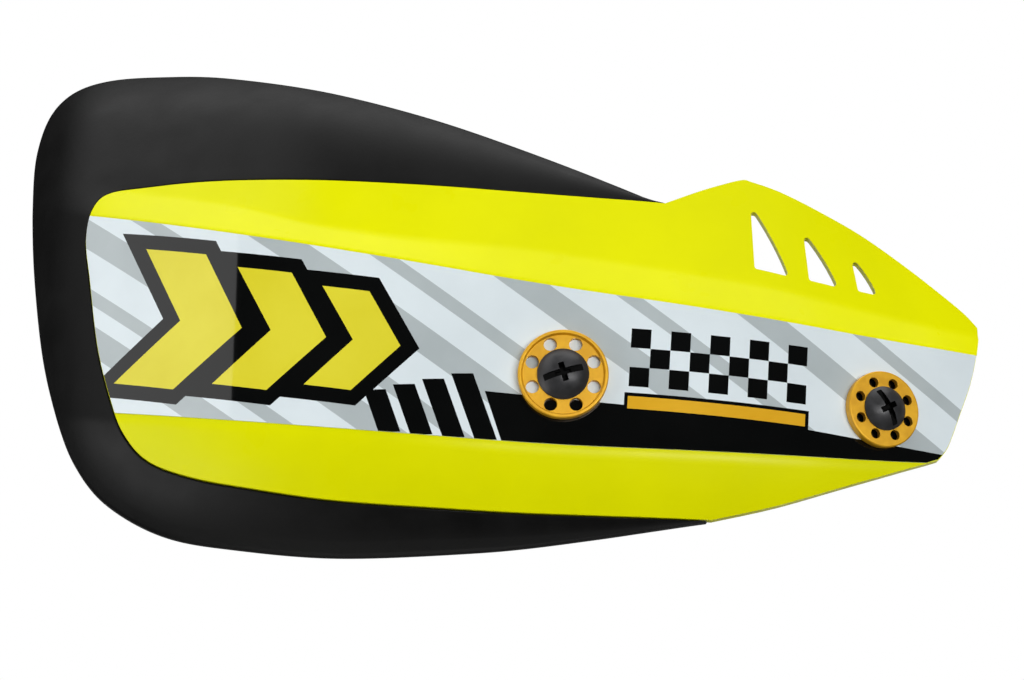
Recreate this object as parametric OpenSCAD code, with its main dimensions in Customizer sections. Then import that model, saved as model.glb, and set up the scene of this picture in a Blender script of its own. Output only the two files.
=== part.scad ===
// Motorcycle hand guard, right hand: a rigid core shield edged by a soft
// co-moulded shroud, with a gloss decal and two screws on vented washers.
// X runs along the guard towards the rider's centre line, Y runs back to the
// bracket and Z runs up. The origin lies on the outer screw, where its free
// stud leaves the lock nut.

/* [Outline] */
// Reach of the shroud's rim outboard of the outer screw
out_reach = 146.3; // [140:0.1:154]
// Reach of the nose inboard of the outer screw
in_reach = 109.9; // [107:0.1:115]
// Rise of the shroud's top above the outer screw
rise = 99.4; // [93:0.1:106]
// Drop of the shroud's foot below the outer screw
drop = 41.9; // [39.5:0.1:45]

/* [Plan form] */
// Distance along X from the outer screw to the inner screw
screw_span = 80.7; // [76:0.1:88]
// Drop of the inner screw below the outer screw
screw_drop = 5.7; // [0:0.1:8]
// Turn of the inner seat back from the outer seat, in degrees
inner_turn = 20; // [12:1:24]
// Flat length of the outer seat on its inboard side
seat_in = 15; // [13:0.5:17]
// Flat length of the outer seat on its outboard side
seat_out = 22; // [14:0.5:30]
// Half length of the flat inner seat
inner_seat_half = 13; // [11:0.5:14]
// Sweep radius round the outboard end
sweep_r = 190; // [170:5:260]
// Radius of the inboard end beyond the inner seat
end_r = 150; // [110:5:220]

/* [Band and facets] */
// Height of the band's upper edge at the outboard end
band_top_out = 44.4; // [42:0.1:46]
// Height of the band's upper edge at the outer screw
band_top_mid = 23.4; // [21:0.1:25]
// Height of the band's upper edge at the inboard end
band_top_in = 12.6; // [11:0.1:14]
// Height of the band's lower edge at the outboard end
band_foot_out = -7.1; // [-9:0.1:-5]
// Height of the band's lower edge at the outer screw
band_foot_mid = -17.9; // [-19:0.1:-16]
// Height of the band's lower edge at the inboard end
band_foot_in = -18.4; // [-20:0.1:-17]
// Flat margin between the band and the shoulder at the ends
shoulder_gap = 0.6; // [0.4:0.1:1]
// Extra flat margin over the middle of the guard
shoulder_gap_extra = 3.2; // [2:0.1:4]
// Slope of the shoulder above the band, depth for each mm of height
shoulder_slope = 0.85; // [0.6:0.05:1]
// Height of the shoulder along most of the guard
shoulder_h = 5; // [4:0.5:7]
// Extra shoulder height at the outboard end
shoulder_h_extra = 3; // [0:0.5:4]
// Slope of the facet above the shoulder
upper_slope = 0.22; // [0.1:0.02:0.35]
// Slope of the facet below the band
lower_slope = 0.35; // [0.2:0.05:0.5]
// Slope of the foot below the lower facet
foot_slope = 0.6; // [0.4:0.05:0.7]
// Height of the lower facet
lower_facet_h = 10; // [8:0.5:13]

/* [Core shield] */
// Wall of the core shield
core_t = 3; // [2.4:0.1:3.6]
// Corner radius of the vents
vent_r = 0.8; // [0.4:0.1:1.2]

/* [Soft shroud] */
// Wall of the shroud
shroud_t = 2.5; // [2:0.1:3.5]
// Width of the flange bonded behind the core's edge
lap_w = 6; // [4:0.5:8]
// Wall of that flange
lap_t = 1.8; // [1.2:0.1:2.4]
// How far the shroud's face lies behind the core's face
shroud_step = 0.6; // [0.3:0.1:1]
// Gap taken up by the bond between the two mouldings
bond_gap = 0.25; // [0.2:0.05:0.4]
// Roll back at the rim, depth for each mm of shroud width
rim_roll = 0.25; // [0.1:0.05:0.35]

/* [Decal] */
// Film thickness
film_t = 0.4; // [0.3:0.1:0.8]
// Adhesive layer under the film
glue_t = 0.1; // [0.1:0.05:0.2]
// Thickness of one layer of ink
ink_t = 0.06; // [0.04:0.01:0.1]
// Bare film left along the edges of the decal
ink_margin = 0.5; // [0.3:0.1:1]
// Pitch of the grey stripes along X
stripe_pitch = 27; // [20:1:34]
// Width of a grey stripe along X
stripe_w = 11; // [6:0.5:14]
// Half height of the largest chevron
chevron_h = 18; // [12:0.5:19]
// Width of the largest chevron's arms along X
chevron_w = 17; // [12:0.5:18]
// Width of the black outline round each chevron
outline_w = 3.8; // [2:0.1:4]
// Size of one cell of the check
check_cell = 5; // [3:0.1:5.2]

/* [Outer fastener, M6] */
// Thread diameter
outer_screw_d = 6; // [5:0.5:6.5]
// Screw head diameter
outer_head_d = 13; // [11.5:0.5:14]
// Screw head height
outer_head_h = 3.3; // [2.8:0.1:4]
// Turn of the slot from level, in degrees
outer_slot_turn = 16; // [0:1:179]
// Vented washer diameter
outer_vented_d = 22.7; // [21:0.1:24]
// Free stud behind the lock nut
outer_stud = 10; // [6:0.5:14]
// Back washer diameter
outer_back_d = 18; // [14:0.5:20]
// Back washer thickness
outer_back_t = 1.6; // [1.2:0.1:2]
// Lock nut width across its flats
outer_nut_af = 10; // [9.5:0.5:11]
// Lock nut height
outer_nut_h = 6; // [5.5:0.1:7]

/* [Inner fastener, M5] */
// Thread diameter
inner_screw_d = 5; // [4:0.5:5.5]
// Screw head diameter
inner_head_d = 11.4; // [10:0.1:12]
// Screw head height
inner_head_h = 2.8; // [2.4:0.1:3.4]
// Turn of the slot from level, in degrees
inner_slot_turn = 117; // [0:1:179]
// Vented washer diameter
inner_vented_d = 19.7; // [18.5:0.1:21]
// Free stud behind the lock nut
inner_stud = 8; // [5:0.5:12]
// Back washer diameter
inner_back_d = 15; // [12:0.5:16]
// Back washer thickness
inner_back_t = 1.2; // [1:0.1:1.6]
// Lock nut width across its flats
inner_nut_af = 8; // [8:0.5:9]
// Lock nut height
inner_nut_h = 5; // [4.8:0.1:6]

/* [Vented washers] */
// Number of vent holes in each washer
vent_count = 8; // [6:1:9]
// Floor thickness of the dished washer
dish_floor = 1.5; // [1:0.1:2]
// Height of the raised rim over the floor
dish_rim_h = 1; // [0.6:0.1:1.4]
// Width of the raised rim
dish_rim_w = 1.2; // [0.8:0.1:1.6]
// Slot width in the screw heads
slot_w = 1.5; // [1.2:0.1:1.8]
// Clearance round the shanks
shank_gap = 0.25; // [0.15:0.05:0.4]
// Gap that stands for the thread flanks in the lock nuts
thread_gap = 0.05; // [0.03:0.01:0.1]

/* [Hidden] */
$fn = 64;

// Depth of the outer stack from the core's face to the nut's rear face
stack_depth = core_t + outer_back_t + outer_nut_h;

// Plan form: flat outer seat, an arc, flat inner seat, an end arc, and the
// wide sweep outboard
seat_run = inner_seat_half * cos(inner_turn);
mid_r = (screw_span - seat_in - seat_run) / sin(inner_turn);
mid_end = seat_in + mid_r * sin(inner_turn);
inner_end = mid_end + 2 * seat_run;
mid_y = mid_r * (1 - cos(inner_turn));
inner_y = mid_y + seat_run * tan(inner_turn);
inner_end_y = mid_y + 2 * seat_run * tan(inner_turn);

function end_turn(x) = asin(min(0.99, sin(inner_turn) + (x - inner_end) / end_r));
function plan_y(x) =
    x < -seat_out ? sweep_r - sqrt(pow(sweep_r, 2) - pow(x + seat_out, 2)) :
    x <= seat_in ? 0 :
    x <= mid_end ? mid_r - sqrt(pow(mid_r, 2) - pow(x - seat_in, 2)) :
    x <= inner_end ? mid_y + (x - mid_end) * tan(inner_turn) :
    inner_end_y + end_r * (cos(inner_turn) - cos(end_turn(x)));

// A parabola through the heights given for the outboard end, the outer screw
// and the inboard end
out_x = -98;
in_x = 95;
function bow(x, h_out, h_mid, h_in) =
    h_out * x * (x - in_x) / (out_x * (out_x - in_x)) +
    h_mid * (x - out_x) * (x - in_x) / (out_x * in_x) +
    h_in * x * (x - out_x) / (in_x * (in_x - out_x));
function band_top(x) = bow(x, band_top_out, band_top_mid, band_top_in);
function band_foot(x) = bow(x, band_foot_out, band_foot_mid, band_foot_in);

// A corner between level and a slope of one, rounded over plus and minus w
function ramp(t, w) = t <= -w ? 0 : t >= w ? t : pow(t + w, 2) / (4 * w);
// An S-shaped step from 0 to 1
function ease(t) = let (u = max(0, min(1, t))) u * u * (3 - 2 * u);

// The same step as x runs over a span
function over_span(x, span) = ease((x - span[0]) / (span[1] - span[0]));

// Spans of X over which the margin under the shoulder grows and closes, the
// shoulder grows higher, and the shoulder fades out into the shroud
gap_grows = [-50, 0];
gap_closes = [105, 45];
shoulder_grows = [-60, -90];
shoulder_fades = [-140, -106];
crease_soft = 1.2;
foot_soft = 4;

// Where the shoulder starts above the band, how high it is and how steep
function shoulder_start(x) =
    shoulder_gap + shoulder_gap_extra * over_span(x, gap_grows) * over_span(x, gap_closes);
function shoulder_at(x) = shoulder_h + shoulder_h_extra * over_span(x, shoulder_grows);
function shoulder_k(x) =
    upper_slope + (shoulder_slope - upper_slope) * over_span(x, shoulder_fades);

// Depth that the facets add to the plan form
function lean(x, z) =
    let (over = z - band_top(x) - shoulder_start(x) - 1, under = band_foot(x) - z)
    shoulder_k(x) * ramp(over, 1)
    - (shoulder_k(x) - upper_slope) * ramp(over - shoulder_at(x), crease_soft)
    + lower_slope * ramp(under - 1.5, 1.5)
    + (foot_slope - lower_slope) * ramp(under - lower_facet_h, foot_soft);
function form_y(x, z) = plan_y(x) + lean(x, z);

// Slope of the form along X and along Z
delta = 0.05;
function slope(x, z) = [(form_y(x + delta, z) - form_y(x - delta, z)) / (2 * delta),
                        (form_y(x, z + delta) - form_y(x, z - delta)) / (2 * delta)];
// Depth along Y that a wall of one millimetre takes on such a slope
function steep(g) = sqrt(1 + g * g);
// The point at x, z that lies d behind the face, measured square to it
function at(x, z, d) = [x, form_y(x, z) + d * steep(slope(x, z)), z];

// Curves through points, as round-cornered splines
function spline_point(a, b, c, d, t) =
    0.5 * ((2 * b) + (c - a) * t + (2 * a - 5 * b + 4 * c - d) * t * t
           + (3 * b - 3 * c + d - a) * t * t * t);
function spline(pts, t) =
    let (last = len(pts) - 1, i = min(last - 1, floor(t)))
    spline_point(pts[max(0, i - 1)], pts[i], pts[i + 1], pts[min(last, i + 2)], t - i);
function curve(pts, steps) =
    [for (k = [0 : (len(pts) - 1) * steps]) spline(pts, k / steps)];

// The outlines as drawn, in the front view. First the seam between the core and
// the shroud, from the wing's notch round the outboard end to the foot, with the
// shroud's rim opposite each point
seam_drawn = [[26.8, 48.3], [-0.4, 50.2], [-31.4, 52.7], [-62.7, 55.5], [-89.8, 58.3],
              [-112.2, 59.1], [-121.1, 58.1], [-124.8, 53.6], [-126.2, 45.2],
              [-124.5, 33.5], [-121.2, 14.1], [-116.5, -1.4], [-112.7, -9.8],
              [-106.6, -16.4], [-96.3, -21], [-81.7, -24.8], [-55.9, -29.6],
              [-20.7, -32.7], [9.2, -34.1], [34.1, -34.9]];
rim_drawn = [[23.4, 49.4], [-0.2, 61], [-31.8, 74.6], [-64.2, 86.2], [-96.7, 95.8],
             [-125, 99.4], [-140.8, 95], [-146.3, 80.3], [-145, 57],
             [-143, 38.1], [-139.3, 16.8], [-134.4, 0.1], [-128.8, -13.4],
             [-120.1, -24], [-104.6, -33.2], [-85.5, -38.1], [-56.5, -41.9],
             [-20.8, -41.6], [9.3, -38.8], [36, -35.2]];
// Inboard edge of the core, from the foot up the nose and over the wing
foot_drawn = [[37.1, -35], [54.3, -31], [75.1, -24.3], [92.6, -18.5]];
nose_drawn = [[96.2, -17.2], [99.1, -13.5], [102.9, -4.4], [106.1, 3.7], [108.4, 12],
              [109.8, 17.1]];
wing_drawn = [[109.9, 20.8], [106.4, 24.4], [100, 29.3], [89.4, 37], [78.7, 43.9],
              [68, 49.2], [57.4, 53.8], [49.9, 56], [47.3, 56.4], [41.4, 54.4],
              [36, 52.3], [30.7, 50]];
// Corners of the three vents, each from its peak down; the long side bows out
vents_drawn = [[[49.2, 49.4], [49.5, 30.8], [58.6, 29.3]],
               [[63, 43], [63.9, 28.8], [71.7, 27.7]],
               [[75.7, 37.3], [77.1, 27.3], [82.3, 26.7]]];
vent_bow = 0.7;

// The drawn outlines are stretched to the reach, rise and drop that are set
function xs(pts) = [for (p = pts) p[0]];
function zs(pts) = [for (p = pts) p[1]];
drawn_out = -min(xs(rim_drawn));
drawn_in = max(xs(wing_drawn));
drawn_rise = max(zs(rim_drawn));
drawn_drop = -min(zs(rim_drawn));
function fitted(pts) = [for (p = pts)
    [p[0] * (p[0] < 0 ? out_reach / drawn_out : in_reach / drawn_in),
     p[1] * (p[1] < 0 ? drop / drawn_drop : rise / drawn_rise)]];
seam_pts = fitted(seam_drawn);
rim_pts = fitted(rim_drawn);
foot_pts = fitted(foot_drawn);
nose_pts = fitted(nose_drawn);
wing_pts = fitted(wing_drawn);
vents = [for (v = vents_drawn) fitted(v)];

// Spline steps between two points of the seam, the same on both mouldings
seam_steps = 4;
core_outline = concat(curve(seam_pts, seam_steps), curve(foot_pts, 2), curve(nose_pts, 2),
                      curve(wing_pts, 2));
// Stations along X: even steps in each stretch of the plan form, from just
// outside the core's outline to just inside of its nose
function steps(a, b, n) = [for (k = [0 : n - 1]) a + (b - a) * k / n];
margin = 1.8;
guard_out = min(xs(core_outline)) - margin;
guard_in = max(xs(core_outline)) + margin;
guard_low = min(zs(core_outline)) - margin;
guard_high = max(zs(core_outline)) + margin;
stations = concat(steps(guard_out, -seat_out, 26), steps(-seat_out, seat_in, 3),
                  steps(seat_in, mid_end, 6), steps(mid_end, inner_end, 2),
                  steps(inner_end, guard_in, 3), [guard_in]);
// Heights of the core's rows at station x, from below the foot to above the top
function rows(x) =
    let (foot = band_foot(x), top = band_top(x), knee = foot - lower_facet_h,
         start = top + shoulder_start(x), crease = start + 1 + shoulder_at(x))
    [min(guard_low, knee - 2 * foot_soft), knee - foot_soft, knee - foot_soft / 3,
     knee + foot_soft / 3, knee + foot_soft, foot - 3, foot - 1.5, foot, top, start,
     start + 1, start + 2, crease - crease_soft, crease, crease + crease_soft,
     crease + 12, max(guard_high, crease + 24)];

// A solid skinned over rings that each list a front row and a back row
module skinned(fronts, backs) {
    n = len(fronts[0]);
    m = len(fronts);
    size = 2 * n;
    points = [for (i = [0 : m - 1])
        each concat(fronts[i], [for (j = [n - 1 : -1 : 0]) backs[i][j]])];
    function id(i, j) = i * size + j % size;
    sides = [for (i = [0 : m - 2], j = [0 : size - 1])
        each [[id(i, j), id(i + 1, j + 1), id(i + 1, j)],
              [id(i, j), id(i, j + 1), id(i + 1, j + 1)]]];
    near = [for (j = [0 : n - 2])
        each [[id(0, j), id(0, size - 2 - j), id(0, j + 1)],
              [id(0, j), id(0, size - 1 - j), id(0, size - 2 - j)]]];
    far = [for (j = [0 : n - 2])
        each [[id(m - 1, j), id(m - 1, j + 1), id(m - 1, size - 2 - j)],
              [id(m - 1, j), id(m - 1, size - 2 - j), id(m - 1, size - 1 - j)]]];
    polyhedron(points = points, faces = concat(sides, near, far));
}

// Everything below is drawn from the core's face at the outer screw
module from_face() { translate([0, -stack_depth, 0]) children(); }
module outer_seat() { from_face() rotate([90, 0, 0]) children(); }
module inner_seat() {
    from_face() translate([screw_span, inner_y, -screw_drop])
        rotate([0, 0, inner_turn]) rotate([90, 0, 0]) children();
}
// A front-view shape driven through the whole depth of the guard
module through() {
    depth = out_reach;
    translate([0, depth, 0]) rotate([90, 0, 0]) linear_extrude(height = 2 * depth) children();
}

module vent(corners) {
    side = corners[0] - corners[2];
    crown = (corners[0] + corners[2]) / 2 + vent_bow * [-side[1], side[0]] / -norm(side);
    offset(r = vent_r) offset(delta = -vent_r) polygon(concat(corners, [crown]));
}

module shank_hole(d) {
    translate([0, 0, -core_t - 10]) cylinder(d = d + 2 * shank_gap, h = core_t + 20);
}

module core_shield() {
    color("yellow") difference() {
        from_face() intersection() {
            skinned([for (x = stations) [for (z = rows(x)) at(x, z, 0)]],
                    [for (x = stations) [for (z = rows(x)) at(x, z, core_t)]]);
            through() polygon(core_outline);
        }
        from_face() through() for (v = vents) vent(v);
        outer_seat() shank_hole(outer_screw_d);
        inner_seat() shank_hole(inner_screw_d);
    }
}

// Direction across the seam at t, out of the core
function seam_out(t) =
    let (a = spline(seam_pts, max(0, t - 0.1)),
         b = spline(seam_pts, min(len(seam_pts) - 1, t + 0.1)),
         d = (b - a) / norm(b - a))
    [d[1], -d[0]];
// Shroud point at t along the seam, v across from seam to rim, d behind the face
function shroud_at(t, v, d) =
    let (a = spline(seam_pts, t) + bond_gap * seam_out(t), w = spline(rim_pts, t) - a,
         p = a + v * w,
         g = slope(p[0], p[1]) + 3 * rim_roll * v * v * w / norm(w))
    [p[0], form_y(p[0], p[1]) + rim_roll * norm(w) * pow(v, 3) + d * steep(g), p[1]];
// Flange point at t along the seam, u behind the core from its edge
function flange_at(t, u, d) =
    let (p = spline(seam_pts, t) - u * seam_out(t)) at(p[0], p[1], d);

module soft_shroud() {
    lap_d = core_t + bond_gap;
    back_d = shroud_step + shroud_t;
    edge = shroud_t / 3;
    across = [0.15, 0.32, 0.5, 0.68, 0.84, 0.97];
    along = [for (k = [(len(seam_pts) - 1) * seam_steps : -1 : 0]) k / seam_steps];
    under = [for (k = [4 : -1 : 0]) lap_w * k / 4];
    color("dimgray") from_face() skinned(
        [for (t = along) concat(
            [for (u = under) flange_at(t, u, lap_d)],
            [shroud_at(t, 0, lap_d), shroud_at(t, 0, shroud_step)],
            [for (v = across) shroud_at(t, v, shroud_step)],
            [shroud_at(t, 1, shroud_step + edge)])],
        [for (t = along) concat(
            [for (u = under) flange_at(t, u, lap_d + lap_t)],
            [shroud_at(t, 0, lap_d + lap_t), shroud_at(t, 0.09, back_d)],
            [for (v = across) shroud_at(t, v, back_d)],
            [shroud_at(t, 1, back_d - edge)])]);
}

// Height of the decal's face over the core's face
decal_face = glue_t + film_t;

// A layer between two heights over the face, along the band and inset from its
// edges and from the core's outline
decal_inset = 0.3;
function band_edges(x, inset) = [band_foot(x) + inset, band_top(x) - inset];
module band_layer(low, high, inset) {
    from_face() intersection() {
        skinned([for (x = stations) [for (z = band_edges(x, inset)) at(x, z, -high)]],
                [for (x = stations) [for (z = band_edges(x, inset)) at(x, z, -low)]]);
        through() offset(delta = -decal_inset - inset) polygon(core_outline);
    }
}

// Inks are printed over one another: fields of a front-view shape, the given
// number of layers high, that keep clear of both washers. Each starts inside the
// film and a little further from its edge than the one below
washer_clear = 0.4;
module ink(layers) {
    difference() {
        intersection() {
            band_layer(glue_t + film_t * (1 - layers / 5), decal_face + layers * ink_t,
                       ink_margin * (0.8 + layers / 5));
            from_face() through() children();
        }
        outer_seat() cylinder(d = outer_vented_d + 2 * washer_clear, h = 2 * core_t, center = true);
        inner_seat() cylinder(d = inner_vented_d + 2 * washer_clear, h = 2 * core_t, center = true);
    }
}

// Middle of the band and its fall, for shapes that follow the band
function band_mid(x) = (band_top(x) + band_foot(x)) / 2;
function band_turn(x) = atan((band_mid(x + 1) - band_mid(x - 1)) / 2);
module on_band(x) { translate([x, band_mid(x)]) rotate(band_turn(x)) children(); }

// Grey stripes that fall across the whole band, a wide one and a narrow one by turns
stripe_fall = 0.75;
module stripes() {
    reach = out_reach + in_reach;
    for (k = [0 : floor(reach / stripe_pitch)]) {
        w = k % 2 == 0 ? stripe_w : stripe_w / 2;
        x = k * stripe_pitch - out_reach;
        polygon([for (c = [[x, 1], [x + w, 1], [x + w, -1], [x, -1]])
            [c[0] - c[1] * rise / 2 / stripe_fall, band_mid(x) + c[1] * rise / 2]]);
    }
}

// Three chevrons point inboard, each smaller than the last, on one black ground
chevrons = [[-104, 1], [-79, 0.86], [-57, 0.72]];
chevron_lead = 0.8;
module chevron(scale, grow) {
    h = chevron_h * scale;
    w = chevron_w * scale;
    lead = chevron_lead * h;
    offset(delta = grow) polygon([[-w / 2, h], [w / 2, h], [w / 2 + lead, 0], [w / 2, -h],
                                  [-w / 2, -h], [lead - w / 2, 0]]);
}
module chevron_print(grow) {
    for (c = chevrons) on_band(c[0]) chevron(c[1], grow);
}

// Bars lean outboard between the last chevron and the outer washer, each taller
bars_from = -46;
bar_w = 5.5;
bar_pitch = 8;
bar_heights = [11, 13, 15, 17];
bar_lean = 0.35;
module bars() {
    for (k = [0 : len(bar_heights) - 1]) {
        x = bars_from + k * bar_pitch;
        h = bar_heights[k];
        translate([x, band_foot(x)])
            polygon([[0, 0], [bar_w, 0], [bar_w - bar_lean * h, h], [-bar_lean * h, h]]);
    }
}

// A black wedge runs along the foot of the band and tapers inboard
wedge_x = [-15, 100];
wedge_h = [13, 2];
module wedge() {
    feet = [for (x = wedge_x) band_foot(x)];
    polygon([[wedge_x[0], feet[0] - 1], [wedge_x[0] - bar_lean * wedge_h[0], feet[0] + wedge_h[0]],
             [wedge_x[1], feet[1] + wedge_h[1]], [wedge_x[1], feet[1] - 1]]);
}

// Three rows of check and an amber bar stand between the washers
check_x = 39;
check_low = -3.5;
check_rows = 3;
check_columns = 9;
check_gap = 0.2;
amber_h = 3.2;
amber_edge = 0.9;
module check() {
    on_band(check_x) for (i = [0 : check_columns - 1], j = [0 : check_rows - 1])
        if ((i + j) % 2 == 0)
            translate([(i - check_columns / 2) * check_cell, check_low + j * check_cell])
                square(check_cell - check_gap);
}
module amber_bar(grow) {
    on_band(check_x) translate([0, check_low - amber_edge - amber_h])
        square([check_columns * check_cell + 2 * grow, amber_h + 2 * grow], center = true);
}

// The decal fills the flat band and keeps clear of the core's edge
module decal() {
    difference() {
        color("lightgray") band_layer(glue_t, decal_face, 0);
        outer_seat() shank_hole(outer_screw_d);
        inner_seat() shank_hole(inner_screw_d);
    }
    color("darkgray") ink(1) stripes();
    color("black") ink(2) {
        chevron_print(outline_w);
        bars();
        wedge();
        check();
        amber_bar(amber_edge);
    }
    color("gold") ink(3) chevron_print(0);
    color("orange") ink(3) amber_bar(0);
}

// Dished washer with a ring of round vents, seated at z = 0
module vented_washer(d, head_d, screw_d) {
    bore_r = screw_d / 2 + shank_gap;
    inside_r = d / 2 - dish_rim_w;
    rim_top = dish_floor + dish_rim_h;
    edge = 0.3;
    vent_ring_r = (head_d / 2 + inside_r) / 2;
    vent_d = inside_r - head_d / 2 - 0.35;
    difference() {
        rotate_extrude() polygon([
            [bore_r, 0], [d / 2 - edge, 0], [d / 2, edge], [d / 2, rim_top - edge],
            [d / 2 - edge, rim_top], [inside_r + edge, rim_top], [inside_r, dish_floor],
            [bore_r, dish_floor]]);
        for (k = [0 : vent_count - 1]) rotate([0, 0, (k + 0.5) * 360 / vent_count])
            translate([vent_ring_r, 0, -1]) cylinder(d = vent_d, h = rim_top + 2, $fn = 32);
    }
}

module outer_vented_washer() {
    color("goldenrod") outer_seat() translate([0, 0, decal_face])
        vented_washer(outer_vented_d, outer_head_d, outer_screw_d);
}

// The inner washer lies with its dished side down, so its rim bears on the decal
module inner_vented_washer() {
    color("goldenrod") inner_seat() translate([0, 0, decal_face + dish_floor + dish_rim_h])
        rotate([180, 0, 0]) vented_washer(inner_vented_d, inner_head_d, inner_screw_d);
}

// Truss head screw: its head stands on z = 0, its shank runs down through the
// grip at the pitch radius and its free stud ends at -grip - stud
head_wall = 0.6;
function pitch_r(d) = 0.446 * d;
module truss_screw(d, head_d, head_h, grip, stud, turn) {
    tip = 0.12 * d;
    length = grip + stud;
    dome = head_h - head_wall;
    dome_r = (pow(head_d / 2, 2) + pow(dome, 2)) / (2 * dome);
    dome_turn = asin(head_d / 2 / dome_r);
    difference() {
        rotate_extrude() polygon(concat(
            [[0, -length], [d / 2 - tip, -length], [d / 2, tip - length], [d / 2, -grip],
             [pitch_r(d), -grip], [pitch_r(d), 0], [head_d / 2, 0]],
            [for (k = [0 : 10]) let (a = dome_turn * (1 - k / 10))
                [dome_r * sin(a), head_h - dome_r * (1 - cos(a))]]));
        translate([0, 0, head_h]) rotate([0, 0, turn]) {
            cube([head_d + 2, slot_w, head_h], center = true);
            cross = 0.55 * head_d;
            cube([cross, slot_w, 1.3 * head_h], center = true);
            cube([slot_w, cross, 1.3 * head_h], center = true);
        }
    }
}

outer_head_z = decal_face + dish_floor;
module outer_screw() {
    color("black") outer_seat() translate([0, 0, outer_head_z])
        truss_screw(outer_screw_d, outer_head_d, outer_head_h,
                    outer_head_z + stack_depth, outer_stud, outer_slot_turn);
}

inner_stack = core_t + inner_back_t + inner_nut_h;
inner_head_z = decal_face + dish_floor + dish_rim_h;
module inner_screw() {
    color("black") inner_seat() translate([0, 0, inner_head_z])
        truss_screw(inner_screw_d, inner_head_d, inner_head_h,
                    inner_head_z + inner_stack, inner_stud, inner_slot_turn);
}

// Turns a piece over and stacks it d behind the core's face
module behind(d) { translate([0, 0, -d]) rotate([180, 0, 0]) children(); }

module back_washer(d, t, screw_d) {
    difference() {
        cylinder(d = d, h = t);
        translate([0, 0, -1]) cylinder(d = screw_d + 2 * shank_gap, h = t + 2);
    }
}
module outer_back_washer() {
    color("silver") outer_seat() behind(core_t)
        back_washer(outer_back_d, outer_back_t, outer_screw_d);
}
module inner_back_washer() {
    color("silver") inner_seat() behind(core_t)
        back_washer(inner_back_d, inner_back_t, inner_screw_d);
}

// Lock nut: a chamfered hexagon with a round collar that is rolled in over the
// nylon ring
collar_lip = 0.3;
chamfer = 0.8;
ring_h = 1.4;
ring_wall = 1.1;
function collar_r(af) = 0.46 * af;
module lock_nut(af, h, screw_d) {
    bore_r = pitch_r(screw_d) + thread_gap;
    hex_h = h - ring_h - collar_lip;
    corner_r = af / 2 / cos(30);
    difference() {
        union() {
            intersection() {
                cylinder(r = corner_r, h = hex_h, $fn = 6);
                rotate_extrude() polygon([
                    [0, 0], [af / 2, 0], [corner_r + 0.1, chamfer],
                    [corner_r + 0.1, hex_h - chamfer], [af / 2, hex_h], [0, hex_h]]);
            }
            cylinder(r = collar_r(af), h = h);
        }
        translate([0, 0, -1]) cylinder(r = bore_r, h = h + 2);
        translate([0, 0, hex_h]) cylinder(r = bore_r + ring_wall, h = ring_h);
    }
}
module nut_ring(h, screw_d) {
    bore_r = pitch_r(screw_d) + thread_gap;
    translate([0, 0, h - ring_h - collar_lip]) difference() {
        cylinder(r = bore_r + ring_wall - thread_gap, h = ring_h);
        translate([0, 0, -1]) cylinder(r = bore_r, h = ring_h + 2);
    }
}
module outer_lock_nut() {
    color("silver") outer_seat() behind(core_t + outer_back_t)
        lock_nut(outer_nut_af, outer_nut_h, outer_screw_d);
}
module inner_lock_nut() {
    color("silver") inner_seat() behind(core_t + inner_back_t)
        lock_nut(inner_nut_af, inner_nut_h, inner_screw_d);
}
module outer_nut_ring() {
    color("royalblue") outer_seat() behind(core_t + outer_back_t)
        nut_ring(outer_nut_h, outer_screw_d);
}
module inner_nut_ring() {
    color("royalblue") inner_seat() behind(core_t + inner_back_t)
        nut_ring(inner_nut_h, inner_screw_d);
}

core_shield();
soft_shroud();
decal();
outer_vented_washer();
inner_vented_washer();
outer_screw();
inner_screw();
outer_back_washer();
inner_back_washer();
outer_lock_nut();
inner_lock_nut();
outer_nut_ring();
inner_nut_ring();
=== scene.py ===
# Looks of a motorcycle hand guard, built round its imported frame
import math

import bmesh
import bpy
from mathutils import Matrix, Vector


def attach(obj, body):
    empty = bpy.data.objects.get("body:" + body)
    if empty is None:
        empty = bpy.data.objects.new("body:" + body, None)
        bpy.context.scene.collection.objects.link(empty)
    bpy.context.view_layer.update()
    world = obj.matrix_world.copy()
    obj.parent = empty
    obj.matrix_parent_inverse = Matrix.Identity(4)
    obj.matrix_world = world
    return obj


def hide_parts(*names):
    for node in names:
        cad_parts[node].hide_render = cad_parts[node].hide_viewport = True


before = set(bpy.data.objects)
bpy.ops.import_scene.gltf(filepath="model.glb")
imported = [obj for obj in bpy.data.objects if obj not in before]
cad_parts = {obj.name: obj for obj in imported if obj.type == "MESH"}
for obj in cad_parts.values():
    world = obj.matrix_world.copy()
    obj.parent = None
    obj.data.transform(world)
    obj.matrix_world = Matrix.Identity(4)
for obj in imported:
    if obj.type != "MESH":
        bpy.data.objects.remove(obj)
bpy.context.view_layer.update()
print("frame loaded:", sorted(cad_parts))

mm = 0.001
scene = bpy.context.scene
scene.view_settings.view_transform = "Standard"

# The guard's form in millimetres, measured from the core's face at the outer screw
form = {
    "screwSpan": 80.7, "screwDrop": 5.7, "innerTurn": math.radians(20),
    "seatIn": 15, "seatOut": 22, "innerSeatHalf": 13,
    "sweepRadius": 190, "endRadius": 150,
    "bandTop": (44.4, 23.4, 12.6), "bandFoot": (-7.1, -17.9, -18.4), "bandX": (-98, 95),
    "shoulderGap": 1.6, "shoulderGapExtra": 3.2, "gapGrows": (-50, 0), "gapCloses": (105, 45),
    "shoulderFoot": 0.1, "shoulderFootSoft": 0.3,
    "shoulderHeight": 5, "shoulderExtra": 3, "shoulderGrows": (-60, -90),
    "shoulderSlope": 0.85, "upperSlope": 0.22, "shoulderFades": (-140, -106), "creaseSoft": 1.2,
    "lowerSlope": 0.35, "lowerSoft": 1.5, "lowerFacet": 10, "footSlope": 0.6, "footSoft": 4,
    "stackDepth": 10.6,  # from the core's face back to the origin
}

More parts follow.
